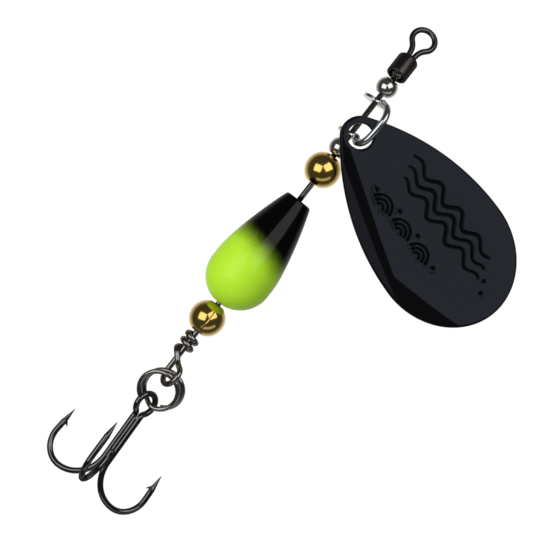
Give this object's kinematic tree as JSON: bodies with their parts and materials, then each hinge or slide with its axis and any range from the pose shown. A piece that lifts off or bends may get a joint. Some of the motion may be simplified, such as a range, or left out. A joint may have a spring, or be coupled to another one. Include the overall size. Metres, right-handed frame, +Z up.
{
  "type": "inline spinner fishing lure",
  "caption": "Inline spinner lure: wire shaft with a swivel, beads, a blade on a clevis, a teardrop weight and a treble hook on a split ring.",
  "frame": {"origin": "middle of the bounding box in plan, on the surface that the lure lies on", "axes": "+X along the shaft towards the line eye, +Z up from the surface, +Y across the shaft, away from the blade's tip"},
  "size_m": [0.0782, 0.0378, 0.0137],
  "materials": {
    "swivel_wire": "black nickel plate, satin",
    "swivel_barrel": "black nickel plate, satin",
    "shaft_wire": "black nickel plate, gloss",
    "small_bead": "polished nickel",
    "clevis": "polished nickel",
    "blade": "gloss black lacquer on sheet metal",
    "large_bead": "polished, lacquered",
    "weight_paint": "fluorescent paint that fades to black at the nose, clear coat",
    "ring_wire": "black nickel plate",
    "hook_wire": "black nickel plate, gloss"
  },
  "bodies": {
    "shaft": {"shaft_wire": "shaft_wire"},
    "swivel": {"swivel_barrel": "swivel_barrel"},
    "line_loop": {"swivel_eye": "swivel_wire"},
    "upper_small_bead": {"upper_small_bead": "small_bead"},
    "clevis": {"clevis": "clevis"},
    "blade": {"spinner_blade": "blade"},
    "lower_small_bead": {"lower_small_bead": "small_bead"},
    "upper_large_bead": {"upper_large_bead": "large_bead"},
    "lower_large_bead": {"lower_large_bead": "large_bead"},
    "weight": {"weight_body": "weight_paint"},
    "ring": {"split_ring": "ring_wire"},
    "treble": {"double_hook_wire": "hook_wire", "third_hook_wire": "hook_wire"}
  },
  "joints": [
    {"name": "swivel_tilt", "type": "hinge", "parent": "shaft", "child": "swivel", "pos_m": [0.03192, 0.01162, 0.00483], "axis": [0, 1, 0], "range_deg": [-54, 1]},
    {"name": "swivel_spin", "type": "hinge", "parent": "swivel", "child": "line_loop", "pos_m": [0.03192, 0.01162, 0.00483], "axis": [0.891, 0, -0.454], "continuous": true},
    {"name": "upper_small_bead_spin", "type": "hinge", "parent": "shaft", "child": "upper_small_bead", "pos_m": [0.02912, 0.01162, 0.00483], "axis": [1, 0, 0], "continuous": true},
    {"name": "clevis_spin", "type": "hinge", "parent": "shaft", "child": "clevis", "pos_m": [0.02385, 0.01162, 0.00483], "axis": [1, 0, 0], "continuous": true},
    {"name": "blade_swing", "type": "hinge", "parent": "clevis", "child": "blade", "pos_m": [0.0216, 0.01041, 0.00745], "axis": [-0.0573, -0.2052, 0.977], "range_deg": [-5, 20]},
    {"name": "lower_small_bead_spin", "type": "hinge", "parent": "shaft", "child": "lower_small_bead", "pos_m": [0.01878, 0.01162, 0.00483], "axis": [1, 0, 0], "continuous": true},
    {"name": "upper_large_bead_spin", "type": "hinge", "parent": "shaft", "child": "upper_large_bead", "pos_m": [0.015, 0.01162, 0.00483], "axis": [1, 0, 0], "continuous": true},
    {"name": "weight_slide", "type": "slide", "parent": "shaft", "child": "lower_large_bead", "axis": [1, 0, 0], "range_m": [0, 0.00265]},
    {"name": "weight_spin", "type": "hinge", "parent": "lower_large_bead", "child": "weight", "pos_m": [-0.00313, 0.01162, 0.00483], "axis": [1, 0, 0], "continuous": true},
    {"name": "ring_swing", "type": "hinge", "parent": "shaft", "child": "ring", "pos_m": [-0.02083, 0.01077, 0.00619], "axis": [0, -0.5299, 0.848], "range_deg": [-8, 34]},
    {"name": "hook_swing", "type": "hinge", "parent": "ring", "child": "treble", "pos_m": [-0.0243, 0.01103, 0.00417], "axis": [-0.134, -0.9895, -0.0541], "range_deg": [-30, 40]}
  ]
}
